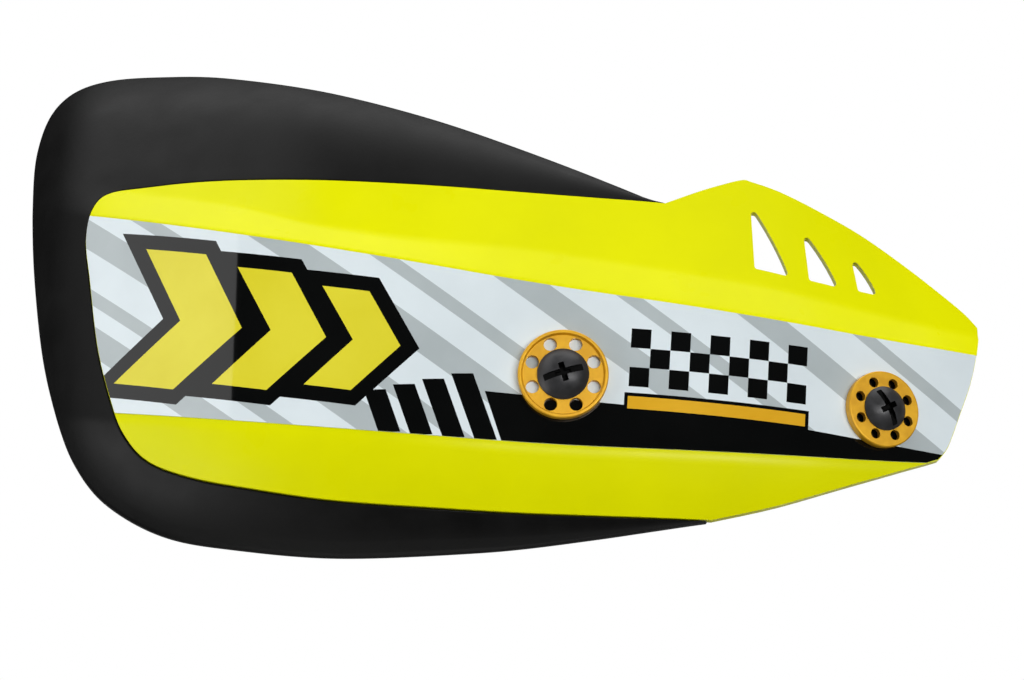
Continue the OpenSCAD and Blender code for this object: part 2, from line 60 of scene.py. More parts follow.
seatRun = form["innerSeatHalf"] * math.cos(form["innerTurn"])
midRadius = (form["screwSpan"] - form["seatIn"] - seatRun) / math.sin(form["innerTurn"])
midEnd = form["seatIn"] + midRadius * math.sin(form["innerTurn"])
innerEnd = midEnd + 2 * seatRun
midY = midRadius * (1 - math.cos(form["innerTurn"]))
innerY = midY + seatRun * math.tan(form["innerTurn"])
innerEndY = midY + 2 * seatRun * math.tan(form["innerTurn"])


def planY(x):  # the plan form: two flat seats, the arcs between and the wide outboard sweep
    if x < -form["seatOut"]:
        run = x + form["seatOut"]
        return form["sweepRadius"] - math.sqrt(form["sweepRadius"] ** 2 - run ** 2)
    if x <= form["seatIn"]:
        return 0
    if x <= midEnd:
        return midRadius - math.sqrt(midRadius ** 2 - (x - form["seatIn"]) ** 2)
    if x <= innerEnd:
        return midY + (x - midEnd) * math.tan(form["innerTurn"])
    turn = math.asin(min(0.99, math.sin(form["innerTurn"]) + (x - innerEnd) / form["endRadius"]))
    return innerEndY + form["endRadius"] * (math.cos(form["innerTurn"]) - math.cos(turn))


def bow(x, heights):  # a parabola through three heights
    out, into = form["bandX"]
    return (heights[0] * x * (x - into) / (out * (out - into))
            + heights[1] * (x - out) * (x - into) / (out * into)
            + heights[2] * x * (x - out) / (into * (into - out)))


def bandTop(x):
    return bow(x, form["bandTop"])


def bandFoot(x):
    return bow(x, form["bandFoot"])


def ramp(t, w):  # a corner between level and rising, rounded over plus and minus w
    return 0 if t <= -w else t if t >= w else (t + w) ** 2 / (4 * w)


def overSpan(x, span):
    u = max(0, min(1, (x - span[0]) / (span[1] - span[0])))
    return u * u * (3 - 2 * u)


def shoulderHeight(x):
    return form["shoulderHeight"] + form["shoulderExtra"] * overSpan(x, form["shoulderGrows"])


def creaseAt(x):  # height of the crease that ends the bright shoulder
    gap = form["shoulderGap"] + (form["shoulderGapExtra"] * overSpan(x, form["gapGrows"])
                                 * overSpan(x, form["gapCloses"]))
    return bandTop(x) + gap + shoulderHeight(x)


def lean(x, z):  # depth that the facets add to the plan form
    foot = bandTop(x) + form["shoulderFoot"] + form["shoulderFootSoft"]
    slope = form["shoulderSlope"] * shoulderHeight(x) / (creaseAt(x) - foot)
    steep = form["upperSlope"] + (slope - form["upperSlope"]) * overSpan(x, form["shoulderFades"])
    under = bandFoot(x) - z
    return (steep * ramp(z - foot, form["shoulderFootSoft"])
            - (steep - form["upperSlope"]) * ramp(z - creaseAt(x), form["creaseSoft"])
            + form["lowerSlope"] * ramp(under - form["lowerSoft"], form["lowerSoft"])
            + (form["footSlope"] - form["lowerSlope"]) * ramp(under - form["lowerFacet"],
                                                              form["footSoft"]))


def formY(x, z):
    return planY(x) + lean(x, z)


def slopeAt(x, z, step=0.05):
    return ((formY(x + step, z) - formY(x - step, z)) / (2 * step),
            (formY(x, z + step) - formY(x, z - step)) / (2 * step))


def placeAt(x, z, depth):  # the point that lies depth behind the face, measured square to it
    sx, sz = slopeAt(x, z)
    return Vector((x, formY(x, z) + depth * math.sqrt(1 + sx * sx + sz * sz), z))


# Heights along the form's own lines, so that creases run along straight cuts
lines = {"foot": 0, "top": 40, "start": 41, "crease": 50}


def levels(x):  # where those lines really lie
    return [bandFoot(x), bandTop(x), bandTop(x) + form["shoulderFoot"], creaseAt(x)]


def remap(value, old, new):  # straight between known heights, unscaled beyond them
    if value <= old[0]:
        return new[0] + value - old[0]
    for k in range(1, len(old)):
        if value <= old[k]:
            return new[k - 1] + (new[k] - new[k - 1]) * (value - old[k - 1]) / (old[k] - old[k - 1])
    return new[-1] + value - old[-1]


def toLines(x, z):
    return remap(z, levels(x), list(lines.values()))


def fromLines(x, q):
    return remap(q, list(lines.values()), levels(x))


# Outlines in the front view, x and z in millimetres
outline = {
    "seam": [(26.8, 48.3), (-0.4, 50.2), (-31.4, 52.7), (-62.7, 55.5), (-89.8, 58.3),
             (-112.2, 59.1), (-121.1, 58.1), (-124.8, 53.6), (-126.2, 45.2), (-124.5, 33.5),
             (-121.2, 14.1), (-116.5, -1.4), (-112.7, -9.8), (-106.6, -16.4), (-96.3, -21),
             (-81.7, -24.8), (-55.9, -29.6), (-20.7, -32.7), (9.2, -34.1), (34.1, -34.9)],
    "rim": [(23.4, 49.4), (-0.2, 61), (-31.8, 74.6), (-64.2, 86.2), (-96.7, 95.8),
            (-125, 99.4), (-140.8, 95), (-146.3, 80.3), (-145, 57), (-143, 38.1),
            (-139.3, 16.8), (-134.4, 0.1), (-128.8, -13.4), (-120.1, -24), (-104.6, -33.2),
            (-85.5, -38.1), (-56.5, -41.9), (-20.8, -41.6), (9.3, -38.8), (36, -35.2)],
    "foot": [(37.1, -35), (54.3, -31), (75.1, -24.3), (92.6, -18.5)],
    "nose": [(96.2, -17.2), (99.1, -13.5), (102.9, -4.4), (106.1, 3.7), (108.4, 12),
             (109.8, 17.1)],
    "wing": [(109.9, 20.8), (106.4, 24.4), (100, 29.3), (89.4, 37), (78.7, 43.9), (68, 49.2),
             (57.4, 53.8), (49.9, 56), (47.3, 56.4), (41.4, 54.4), (36, 52.3), (30.7, 50)],
    "vents": [((49.2, 49.4), (49.5, 30.8), (58.6, 29.3)),
              ((63, 43), (63.9, 28.8), (71.7, 27.7)),
              ((75.7, 37.3), (77.1, 27.3), (82.3, 26.7))],
    "ventRadius": 0.8, "ventBow": 0.7,
    "coreWall": 3,
}


def splineAt(points, t):
    last = len(points) - 1
    i = min(last - 1, int(t))
    t -= i
    a, b, c, d = (Vector(points[k]) for k in (max(0, i - 1), i, i + 1, min(last, i + 2)))
    return 0.5 * (2 * b + (c - a) * t + (2 * a - 5 * b + 4 * c - d) * t * t
                  + (3 * b - 3 * c + d - a) * t ** 3)


def splineCurve(points, steps):
    return [splineAt(points, k / steps) for k in range((len(points) - 1) * steps + 1)]


coreOutline = (splineCurve(outline["seam"], 8) + splineCurve(outline["foot"], 4)
               + splineCurve(outline["nose"], 4) + splineCurve(outline["wing"], 4))


def roundedLoop(corners, radius, steps=5):  # a polygon with its corners turned into arcs
    points = []
    for i, corner in enumerate(corners):
        corner = Vector(corner)
        before = (Vector(corners[i - 1]) - corner).normalized()
        after = (Vector(corners[(i + 1) % len(corners)]) - corner).normalized()
        half = before.angle(after) / 2
        if half > math.radians(80):
            points.append(corner)
            continue
        centre = corner + (before + after).normalized() * radius / math.sin(half)
        reach = radius / math.tan(half)
        first = corner + before * reach - centre
        turn = first.angle_signed(corner + after * reach - centre)
        for k in range(steps + 1):
            a = -turn * k / steps
            points.append(centre + Vector((first.x * math.cos(a) - first.y * math.sin(a),
                                           first.x * math.sin(a) + first.y * math.cos(a))))
    return points


def ventLoop(corners):
    peak, heel, toe = (Vector(c) for c in corners)
    side = peak - toe
    away = Vector((side.y, -side.x)).normalized()
    bowed = [toe + side * t + away * outline["ventBow"] * 4 * t * (1 - t)
             for t in (0.2, 0.35, 0.5, 0.65, 0.8)]
    return roundedLoop([peak, heel, toe] + bowed, outline["ventRadius"])


# Small mesh helpers

def addLoop(bm, points):  # a closed loop of edges in the front view
    verts = [bm.verts.new((p[0], 0, p[1])) for p in points]
    return [bm.edges.new((verts[k], verts[(k + 1) % len(verts)])) for k in range(len(verts))]


def pick(geom, kind):  # what an operator made, of one kind
    return [entry for entry in geom if isinstance(entry, kind)]


def fillPlate(bm, edges):  # one plate inside the loops, holes left open
    made = bmesh.ops.triangle_fill(bm, use_beauty=True, use_dissolve=False, edges=edges,
                                   normal=(0, -1, 0))["geom"]
    inner = [e for e in pick(made, bmesh.types.BMEdge) if len(e.link_faces) == 2]
    bmesh.ops.dissolve_limit(bm, angle_limit=0.01, use_dissolve_boundaries=False, verts=[],
                             edges=inner)


def thicken(bm, deep):  # draws a flat plate out into a closed wall
    made = bmesh.ops.extrude_face_region(bm, geom=bm.faces[:])["geom"]
    bmesh.ops.translate(bm, vec=(0, deep, 0), verts=pick(made, bmesh.types.BMVert))
    bmesh.ops.recalc_face_normals(bm, faces=bm.faces[:])


def sliceAcross(bm, axis, values, **clear):  # cuts the whole mesh at each value along an axis
    normal = Vector((0, 0, 0))
    normal[axis] = 1
    for value in values:
        bmesh.ops.bisect_plane(bm, geom=bm.verts[:] + bm.edges[:] + bm.faces[:], dist=1e-5,
                               plane_co=normal * value, plane_no=normal, **clear)


def sliceAlong(bm, step):  # even cuts from end to end
    xs = [v.co.x for v in bm.verts]
    count = max(1, round((max(xs) - min(xs)) / step))
    sliceAcross(bm, 0, [min(xs) + (max(xs) - min(xs)) * k / count for k in range(1, count)])


def bevelEdges(bm, edges, rounding):  # rounding: its width and its steps
    bmesh.ops.bevel(bm, geom=edges, offset=rounding[0], offset_type="OFFSET",
                    segments=rounding[1], profile=0.5, affect="EDGES", clamp_overlap=True,
                    material=-1)


def sharpEdges(bm, limit):
    return [e for e in bm.edges
            if len(e.link_faces) == 2 and e.calc_face_angle(0) > math.radians(limit)]


def ringLoop(radius, count, centre=(0, 0)):
    return [(centre[0] + radius * math.cos(2 * math.pi * k / count),
             centre[1] + radius * math.sin(2 * math.pi * k / count)) for k in range(count)]


def turnMesh(bm, degrees, axis="X", height=0):
    bmesh.ops.rotate(bm, cent=(0, 0, height), verts=bm.verts[:],
                     matrix=Matrix.Rotation(math.radians(degrees), 3, axis))


def liftMesh(bm, height):
    bmesh.ops.translate(bm, vec=(0, 0, height), verts=bm.verts[:])


def putInOrder(bm):  # by place, because some operators number their work differently each run
    for parts, place in ((bm.verts, lambda v: v.co), (bm.faces, lambda f: f.calc_center_median())):
        ordered = sorted(parts, key=lambda part: tuple(round(value, 3) for value in place(part)))
        for k, part in enumerate(ordered):
            part.index = k
        parts.sort()


def lathe(bm, profile, count):  # spins an r, z profile round the Z axis and closes it
    verts = [bm.verts.new((r, 0, z)) for r, z in profile]
    edges = [bm.edges.new(pair) for pair in zip(verts, verts[1:])]
    bmesh.ops.spin(bm, geom=verts + edges, cent=(0, 0, 0), axis=(0, 0, 1),
                   angle=2 * math.pi, steps=count, use_merge=True, use_duplicate=False)
    bmesh.ops.remove_doubles(bm, verts=bm.verts[:], dist=1e-4)
    bmesh.ops.recalc_face_normals(bm, faces=bm.faces[:])


def finishPiece(name, bm, materials, replaced, seat=Matrix.Identity(4), sharp=35,
                weighted=True):
    bmesh.ops.transform(bm, matrix=seat, verts=bm.verts[:])
    bmesh.ops.recalc_face_normals(bm, faces=bm.faces[:])
    bmesh.ops.transform(bm, matrix=Matrix.Translation((0, -form["stackDepth"] * mm, 0))
                        @ Matrix.Scale(mm, 4), verts=bm.verts[:])
    mesh = bpy.data.meshes.new(name)
    bm.to_mesh(mesh)
    bm.free()
    piece = bpy.data.objects.new(name, mesh)
    scene.collection.objects.link(piece)
    for material in materials:
        mesh.materials.append(material)
    mesh.shade_smooth()
    mesh.set_sharp_from_angle(angle=math.radians(sharp))
    if weighted:
        even = piece.modifiers.new("broad faces stay even", "WEIGHTED_NORMAL")
        even.mode = "FACE_AREA"
        even.weight = 90
        even.keep_sharp = True
    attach(piece, "root")
    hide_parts(replaced)
    print(name, len(mesh.polygons), "faces")
    return piece


# Places of the two fasteners: local z points out of the guard's face
outerSeat = Matrix.Rotation(math.radians(90), 4, "X")
innerSeat = (Matrix.Translation((form["screwSpan"], innerY, -form["screwDrop"]))
             @ Matrix.Rotation(form["innerTurn"], 4, "Z") @ outerSeat)


# Materials: a look holds shader values, two close colours in patches, a gloss that drifts between
# two roughnesses over patches of its own, and a grain; patches and grains in millimetres

def linear(code):  # an sRGB hex colour as linear values
    parts = [int(code[k:k + 2], 16) / 255 for k in (1, 3, 5)]
    return [p / 12.92 if p <= 0.04045 else ((p + 0.055) / 1.055) ** 2.4 for p in parts] + [1]


def addNode(tree, kind, settings=None, inputs=None):
    node = tree.nodes.new(kind)
    for key, value in (settings or {}).items():
        setattr(node, key, value)
    for key, value in (inputs or {}).items():
        if isinstance(value, bpy.types.NodeSocket):
            tree.links.new(value, node.inputs[key])
        else:
            node.inputs[key].default_value = value
    return node


def newMaterial(name, values):
    material = bpy.data.materials.new(name)
    material.use_nodes = True
    shader = material.node_tree.nodes["Principled BSDF"]
    for key, value in values.items():
        shader.inputs[key].default_value = value
    return material, material.node_tree, shader


def noise(tree, place, size, detail=2, roughness=0.5):  # soft clouds about size across
    return addNode(tree, "ShaderNodeTexNoise", {}, {
        "Vector": place, "Scale": 1 / (size * mm), "Detail": detail,
        "Roughness": roughness}).outputs["Fac"]


def blotched(tree, shader, place, colors, patch):  # two close colours in soft patches
    ramped = addNode(tree, "ShaderNodeValToRGB", {}, {"Fac": noise(tree, place, patch, 4, 0.55)})
    for stop, position, color in zip(ramped.color_ramp.elements, (0.35, 0.65), colors):
        stop.position = position
        stop.color = linear(color)
    tree.links.new(ramped.outputs["Color"], shader.inputs["Base Color"])


def roughened(tree, shader, place, span, patch):  # roughness that drifts between two values
    mapped = addNode(tree, "ShaderNodeMapRange", {}, {
        "Value": noise(tree, place, patch, 3), "From Min": 0.3, "From Max": 0.7,
        "To Min": span[0], "To Max": span[1]})
    tree.links.new(mapped.outputs["Result"], shader.inputs["Roughness"])


def grained(tree, shader, height, depth):  # bump from a height pattern, depth in mm
    bump = addNode(tree, "ShaderNodeBump", {}, {"Height": height, "Distance": depth * mm})
    tree.links.new(bump.outputs["Normal"], shader.inputs["Normal"])
    return bump


def makeLook(name, look):  # everything but the grain
    material, tree, shader = newMaterial(name, look["shader"])
    place = addNode(tree, "ShaderNodeTexCoord").outputs["Object"]
    blotched(tree, shader, place, look["colors"], look["patch"])
    if "gloss" in look:
        roughened(tree, shader, place, look["gloss"], look["glossPatch"])
    return material, tree, shader, place


def makeGrained(name, look):  # with an even, cloudy grain
    material, tree, shader, place = makeLook(name, look)
    grained(tree, shader, noise(tree, place, look["grain"], look["detail"]), look["grainDepth"])
    return material


# Injection-moulded polypropylene: strong even colour, a satin gloss and a faint mould grain
yellowPlastic = {
    "shader": {"IOR": 1.49, "Specular IOR Level": 0.09},
    "colors": ("#d9da00", "#dedf00"), "patch": 30, "gloss": (0.26, 0.34), "glossPatch": 12,
    "grain": 0.7, "detail": 2, "grainDepth": 0.004,
}

# Soft thermoplastic elastomer: near black, a dull sheen and a fine stippled skin,
# its 0.4 mm stipple drawn at 0.9 mm so that it shows
blackElastomer = {
    "shader": {"IOR": 1.5, "Specular IOR Level": 0.17},
    "colors": ("#060606", "#0a0a0a"), "patch": 18, "gloss": (0.42, 0.5), "glossPatch": 9,
    "stipple": 0.9, "stippleSoft": 0.6, "stippleDepth": 0.012,
}


def makeBlackElastomer(name):
    look = blackElastomer
    material, tree, shader, place = makeLook(name, look)
    stipple = addNode(tree, "ShaderNodeTexVoronoi", {"feature": "SMOOTH_F1"}, {
        "Vector": place, "Scale": 1 / (look["stipple"] * mm), "Smoothness": look["stippleSoft"]})
    grained(tree, shader, stipple.outputs["Distance"], look["stippleDepth"])
    return material


# Screen-printed vinyl under a clear laminate: flat ink below a glassy, slightly wavy coat
printedFilm = {
    "shader": {"Roughness": 0.42, "IOR": 1.5, "Specular IOR Level": 0.0,
               "Coat Weight": 1.0, "Coat Roughness": 0.035, "Coat IOR": 1.5},
    "base": ("#d4dee2", "#dbe5e9"), "grey": ("#a8b1b3", "#b1babc"), "black": ("#050606", "#090a0a"),
    "yellow": ("#d6cb2c", "#ddd338"), "amber": ("#d5a021", "#dcaa2c"),
    "patch": 25, "wave": 9, "waveDepth": 0.006,
}


def makeFilm(ink):
    look = dict(printedFilm, colors=printedFilm[ink])
    material, tree, shader, place = makeLook("printed_film_" + ink, look)
    bump = grained(tree, shader, noise(tree, place, look["wave"], 1), look["waveDepth"])
    tree.links.new(bump.outputs["Normal"], shader.inputs["Coat Normal"])
    return material


# Turned aluminium, gold anodised: a warm metal with fine rings from the lathe,
# their 0.15 mm feed drawn at 0.5 mm so that it shows
goldAluminium = {
    "shader": {"Metallic": 0.4},
    "colors": ("#cb950c", "#dba616"), "patch": 4, "gloss": (0.4, 0.5), "glossPatch": 2,
    "feed": 0.5, "feedDepth": 0.004, "feedStray": 0.6,
}


def makeGoldAluminium(name, seat):
    look = goldAluminium
    material, tree, shader, place = makeLook(name, look)
    centred = addNode(tree, "ShaderNodeMapping", {"vector_type": "TEXTURE"}, {
        "Vector": place, "Location": seat.to_translation() * mm, "Rotation": seat.to_euler()})
    rings = addNode(tree, "ShaderNodeTexWave", {
        "wave_type": "RINGS", "rings_direction": "Y", "wave_profile": "SIN"}, {
        "Vector": centred.outputs["Vector"], "Scale": 2 * math.pi / (20 * look["feed"] * mm),
        "Distortion": look["feedStray"], "Detail": 1})
    grained(tree, shader, rings.outputs["Fac"], look["feedDepth"])
    return material


# Cold-headed steel, black zinc plated and oiled: dark, half glossy, slightly pitted
blackSteel = {
    "shader": {"Metallic": 0.2, "IOR": 1.5, "Specular IOR Level": 0.3},
    "colors": ("#2c2c2d", "#363638"), "patch": 3, "gloss": (0.32, 0.44), "glossPatch": 1.5,
    "grain": 0.4, "detail": 3, "grainDepth": 0.004,
}

# The same plating in the driver recess: dull, and coloured near black as painted shade for the shadow
# that falls in the recess
recessPaintedShade = {
    "shader": {"Metallic": 0.0, "IOR": 1.5, "Specular IOR Level": 0.06, "Roughness": 0.6},
    "colors": ("#020202", "#060606"), "patch": 1, "grain": 0.3, "detail": 2, "grainDepth": 0.006,
}

# Pressed and headed steel, bright zinc plated: a cool grey metal with a faint bloom
zincSteel = {
    "shader": {"Metallic": 1.0},
    "colors": ("#b9bcbf", "#cfd3d6"), "patch": 2.5, "gloss": (0.28, 0.42), "glossPatch": 1.5,
    "grain": 0.5, "detail": 3, "grainDepth": 0.003,
}

# Moulded nylon, dyed blue: waxy and even, with a trace of tooling
blueNylon = {
    "shader": {"IOR": 1.53, "Roughness": 0.45},
    "colors": ("#1b47a0", "#2353b4"), "patch": 1.5, "grain": 0.4, "detail": 2, "grainDepth": 0.004,
}


# Core shield: a flat plate is filled, thickened and rounded, cut across and then formed

core = {
    "edgeRound": (0.45, 3), "wingRound": (2.3, 6), "ventRound": (0.55, 3), "backRound": (0.3, 2),
    "wingFrom": 30, "boreRadius": (3.25, 2.75), "cutX": 2.0,
    "rows": [-26, -23.5, -21, -18.5, -16, -14, -12, -10, -8, -6, -4.5, -3, -2.25, -1.5, -0.75, 0,
             14, 27, 40, 41, 41.35, 41.7, 42.05, 42.4, 43.2, 44.6, 46, 47.4, 48.5, 48.9, 49.3, 49.65,
             50, 50.4, 50.8, 51.2, 52.6, 54.5, 57, 59.5, 62, 64.5, 67, 69.5, 72, 74.5, 77, 79.5],
}


def boreLoops(sides):  # both bores on the face; its turn narrows the inner one in the front view
    places = ((0, 0, core["boreRadius"][0], 1),
              (form["screwSpan"], -form["screwDrop"], core["boreRadius"][1],
               math.cos(form["innerTurn"])))
    return [[(x + p[0] * squeeze, toLines(x, z + p[1])) for p in ringLoop(radius, sides)]
            for x, z, radius, squeeze in places]


def makeCore(material):
    bm = bmesh.new()
    tag = bm.verts.layers.int.new("edgeKind")
    outer = [(p.x, toLines(p.x, p.y)) for p in coreOutline]
    vents = [[(p.x, toLines(p.x, p.y)) for p in ventLoop(corners)] for corners in outline["vents"]]
    kinds = {"outline": 1, "vent": 2, "bore": 3}
    loops = []
    for kind, drawn in (("outline", [outer]), ("vent", vents), ("bore", boreLoops(32))):
        for points in drawn:
            made = addLoop(bm, points)
            for e in made:
                e.verts[0][tag] = e.verts[1][tag] = kinds[kind]
            loops += made
    fillPlate(bm, loops)
    thicken(bm, outline["coreWall"])

    def rimEdges(front, kind, wing=None):
        chosen = []
        for e in bm.edges:
            a, b = e.verts
            onFace = abs(a.co.y) < 1e-4 and abs(b.co.y) < 1e-4
            onBack = min(a.co.y, b.co.y) > outline["coreWall"] - 1e-4
            if not (onFace if front else onBack) or {a[tag], b[tag]} != {kinds[kind]}:
                continue
            if len(e.link_faces) != 2 or e.calc_face_angle(0) < 1:
                continue
            inWing = min(a.co.x, b.co.x) > core["wingFrom"] and min(a.co.z, b.co.z) > lines["top"]
            if wing is None or wing == inWing:
                chosen.append(e)
        return chosen

    bevelEdges(bm, rimEdges(False, "outline") + rimEdges(False, "vent"), core["backRound"])
    bevelEdges(bm, rimEdges(True, "vent"), core["ventRound"])
    bevelEdges(bm, rimEdges(True, "outline", wing=True), core["wingRound"])
    bevelEdges(bm, rimEdges(True, "outline", wing=False), core["edgeRound"])
    sliceAlong(bm, core["cutX"])
    sliceAcross(bm, 2, core["rows"])
    for v in bm.verts:
        if v[tag] == kinds["bore"] and v.co.x > form["seatIn"]:
            v.co.x -= v.co.y * math.sin(form["innerTurn"])
        v.co = placeAt(v.co.x, fromLines(v.co.x, v.co.z), v.co.y)
    finishPiece("core_shield_formed", bm, [material], "core_shield")


# Soft shroud: one section, drawn in its own plane, is drawn out along the seam

shroud = {
    "wall": 2.5, "step": 0.6, "bondGap": 0.25, "lapWidth": 6, "lapWall": 1.8, "rimRoll": 0.25,
    "seamZone": 2, "rimZone": 3, "faceSpan": 100, "faceCuts": 12, "perPoint": 12,
    "groove": 0.5, "rimRound": 0.9, "heel": (1.2, 0.4),
}


def seamOut(t):
    last = len(outline["seam"]) - 1
    along = (splineAt(outline["seam"], min(last, t + 0.1))
             - splineAt(outline["seam"], max(0, t - 0.1))).normalized()
    return Vector((along.y, -along.x))


def shroudPoint(t, a, depth):
    seam = splineAt(outline["seam"], t)
    out = seamOut(t)
    if a <= 0:
        p = seam + out * a
        return placeAt(p.x, p.y, depth)
    start = seam + out * shroud["bondGap"]
    across = splineAt(outline["rim"], t) - start
    width = across.length
    narrow = min(1, width / (2 * (shroud["seamZone"] + shroud["rimZone"])))
    near, far = shroud["seamZone"] * narrow, shroud["rimZone"] * narrow
    if a <= shroud["seamZone"]:
        run = a * narrow
    elif a <= shroud["seamZone"] + shroud["faceSpan"]:
        run = near + (width - near - far) * (a - shroud["seamZone"]) / shroud["faceSpan"]
    else:
        run = width - (shroud["seamZone"] + shroud["faceSpan"] + shroud["rimZone"] - a) * narrow
    v = run / width
    p = start + across * v
    sx, sz = slopeAt(p.x, p.y)
    rollSlope = 3 * shroud["rimRoll"] * v * v / width
    sx += rollSlope * across.x
    sz += rollSlope * across.y
    y = formY(p.x, p.y) + shroud["rimRoll"] * width * v ** 3
    return Vector((p.x, y + depth * math.sqrt(1 + sx * sx + sz * sz), p.y))


def makeShroud(material):
    look = shroud
    lap = outline["coreWall"] + look["bondGap"]
    back = look["step"] + look["wall"]
    rim = look["seamZone"] + look["faceSpan"] + look["rimZone"]
    faceRuns = [look["seamZone"] + look["faceSpan"] * k / look["faceCuts"]
                for k in range(look["faceCuts"] + 1)]
    g, r = look["groove"], look["rimRound"]
    arc = [math.radians(angle) for angle in (0, 22.5, 45, 67.5, 90)]
    section = [(-look["lapWidth"] * k / 4, lap) for k in (4, 3, 2, 1, 0)]
    section += [(0.01, lap), (0.01, look["step"] + g)]
    section += [(0.01 + g * (1 - math.cos(a)), look["step"] + g * (1 - math.sin(a))) for a in arc[1:]]
    section += [(a, look["step"]) for a in faceRuns]
    section += [(rim - r + r * math.sin(a), look["step"] + r * (1 - math.cos(a))) for a in arc]
    section += [(rim - r + r * math.cos(a), back - r * (1 - math.sin(a))) for a in arc]
    section += [(a, back) for a in reversed(faceRuns[1:])]
    section += [(look["heel"][0], back + look["heel"][1]), (0.01, lap + look["lapWall"])]
    section += [(-look["lapWidth"] * k / 4, lap + look["lapWall"]) for k in (0, 1, 2, 3, 4)]
    bm = bmesh.new()
    layer = bm.verts.layers.float.new("station")
    first = edges = addLoop(bm, [(depth, a) for a, depth in section])
    for k in range((len(outline["seam"]) - 1) * look["perPoint"]):
        made = bmesh.ops.extrude_edge_only(bm, edges=edges)["geom"]
        for v in pick(made, bmesh.types.BMVert):
            v[layer] = (k + 1) / look["perPoint"]
        edges = [e for e in pick(made, bmesh.types.BMEdge)
                 if abs(e.verts[0][layer] - e.verts[1][layer]) < 1e-6]
    bmesh.ops.contextual_create(bm, geom=first)
    bmesh.ops.contextual_create(bm, geom=edges)
    for v in bm.verts:
        v.co = shroudPoint(v[layer], v.co.z, v.co.x)
    finishPiece("soft_shroud_formed", bm, [material], "soft_shroud")


# Decal: a thin printed film; each ink is cut into it along its edges

film = {
    "depth": -0.1, "thick": 0.4, "inset": 0.15,
    "cutX": 1.5, "rows": [5, 10, 15, 20, 25, 30, 35], "ends": (0.31, 39.69),
    "stripeCount": 10, "stripePitch": 27, "stripeWidth": 11, "stripeFall": 0.75,
    "firstStripe": -146.3,
    "chevronHigh": 18, "chevronWide": 17, "chevronLead": 0.8, "outlineWidth": 3.8,
    "chevrons": [(-104, 1), (-79, 0.86), (-57, 0.72)],
    "bars": [(-46, 11), (-38, 13), (-30, 15), (-22, 17)], "barWide": 5.5, "barLean": 0.35,
    # the last entry on the next line is the radius of the black disc painted as shadow under the
    # inner washer
    "wedge": [(-15, 13), (100, 2)], "wedgeSteps": 12, "shadowDiscRadius": 9.2,
    "checkAt": 39, "checkCells": (9, 3), "checkCell": 5, "checkLow": -3.5,
    "amberLong": 45, "amberHigh": 3.2, "amberMid": -7.6, "amberEdge": 0.9,
}


def bandMid(x):
    return (bandTop(x) + bandFoot(x)) / 2


def onBand(x, points):  # drawn points carried to the middle of the band at x, along the band
    turn = math.atan2(bandMid(x + 1) - bandMid(x - 1), 2)
    return [(x + p[0] * math.cos(turn) - p[1] * math.sin(turn),
             bandMid(x) + p[0] * math.sin(turn) + p[1] * math.cos(turn)) for p in points]


def within(p, points):  # true where the point lies inside the polygon
    inside = False
    for a, b in zip([points[-1]] + points, points):
        if (a[1] > p[1]) != (b[1] > p[1]):
            if p[0] < (b[0] - a[0]) * (p[1] - a[1]) / (b[1] - a[1]) + a[0]:
                inside = not inside
    return inside


def stripeShapes():  # wide and narrow stripes by turns
    heights = [p[1] for p in outline["rim"]]
    rise = max(heights) - min(heights)
    shapes = []
    for k in range(film["stripeCount"]):
        wide = film["stripeWidth"] / (1 + k % 2)
        x = film["firstStripe"] + k * film["stripePitch"]
        shapes.append([(px - side * rise / 2 / film["stripeFall"], bandMid(x) + side * rise / 2)
                       for px, side in ((x, 1), (x + wide, 1), (x + wide, -1), (x, -1))])
    return shapes


def chevronShapes(width):  # two arms each, with an edge of a width added all round
    shapes = []
    for x, scale in film["chevrons"]:
        high, wide = film["chevronHigh"] * scale, film["chevronWide"] * scale
        lead = film["chevronLead"] * high
        slant = math.hypot(lead, high)
        arm = [Vector((-wide / 2 - width * (slant + lead) / high, high + width)),
               Vector((wide / 2 + width * (slant - lead) / high, high + width)),
               Vector((wide / 2 + lead + width * slant / high, 0)),
               Vector((lead - wide / 2 - width * slant / high, 0))]
        shapes += [onBand(x, arm), onBand(x, [(p.x, -p.y) for p in arm])]
    return shapes


def barShapes():
    shapes = []
    for x, high in film["bars"]:
        foot = bandFoot(x)
        shift = film["barLean"] * high
        shapes.append([(x, foot), (x + film["barWide"], foot),
                       (x + film["barWide"] - shift, foot + high), (x - shift, foot + high)])
    (x0, h0), (x1, h1) = film["wedge"]
    steps = film["wedgeSteps"]
    under = [x1 + (x0 - x1) * k / steps for k in range(steps + 1)]
    shapes.append([(x0 - film["barLean"] * h0, bandFoot(x0) + h0), (x1, bandFoot(x1) + h1)]
                  + [(x, bandFoot(x) - 1) for x in under])
    return shapes


def checkShapes():
    cell = film["checkCell"]
    across, high = film["checkCells"]
    shapes = []
    for i in range(across):
        for j in range(i % 2, high, 2):
            x, z = (i - across / 2) * cell, film["checkLow"] + j * cell
            shapes.append(onBand(film["checkAt"], [
                (x, z), (x + cell, z), (x + cell, z + cell), (x, z + cell)]))
    return shapes


def amberShape(width):
    high, long, mid = film["amberHigh"] / 2 + width, film["amberLong"] / 2 + width, film["amberMid"]
    return [onBand(film["checkAt"], [(-long, mid - high), (long, mid - high),
                                     (long, mid + high), (-long, mid + high)])]


def paintedShadowUnderInnerWasher():  # a black disc printed under the inner washer as painted shadow, so that its vents look deep
    squeeze = math.cos(form["innerTurn"])
    return [(form["screwSpan"] + p[0] * squeeze, p[1] - form["screwDrop"])
            for p in ringLoop(film["shadowDiscRadius"], 32)]


prints = [  # later inks lie over earlier ones; the number is the film's material
    (1, stripeShapes()),
    # ink 2 also holds a painted shadow: the black disc under the inner washer
    (2, chevronShapes(film["outlineWidth"]) + barShapes() + checkShapes()
     + amberShape(film["amberEdge"]) + [paintedShadowUnderInnerWasher()]),
    (3, chevronShapes(0)),
    (4, amberShape(0)),
]


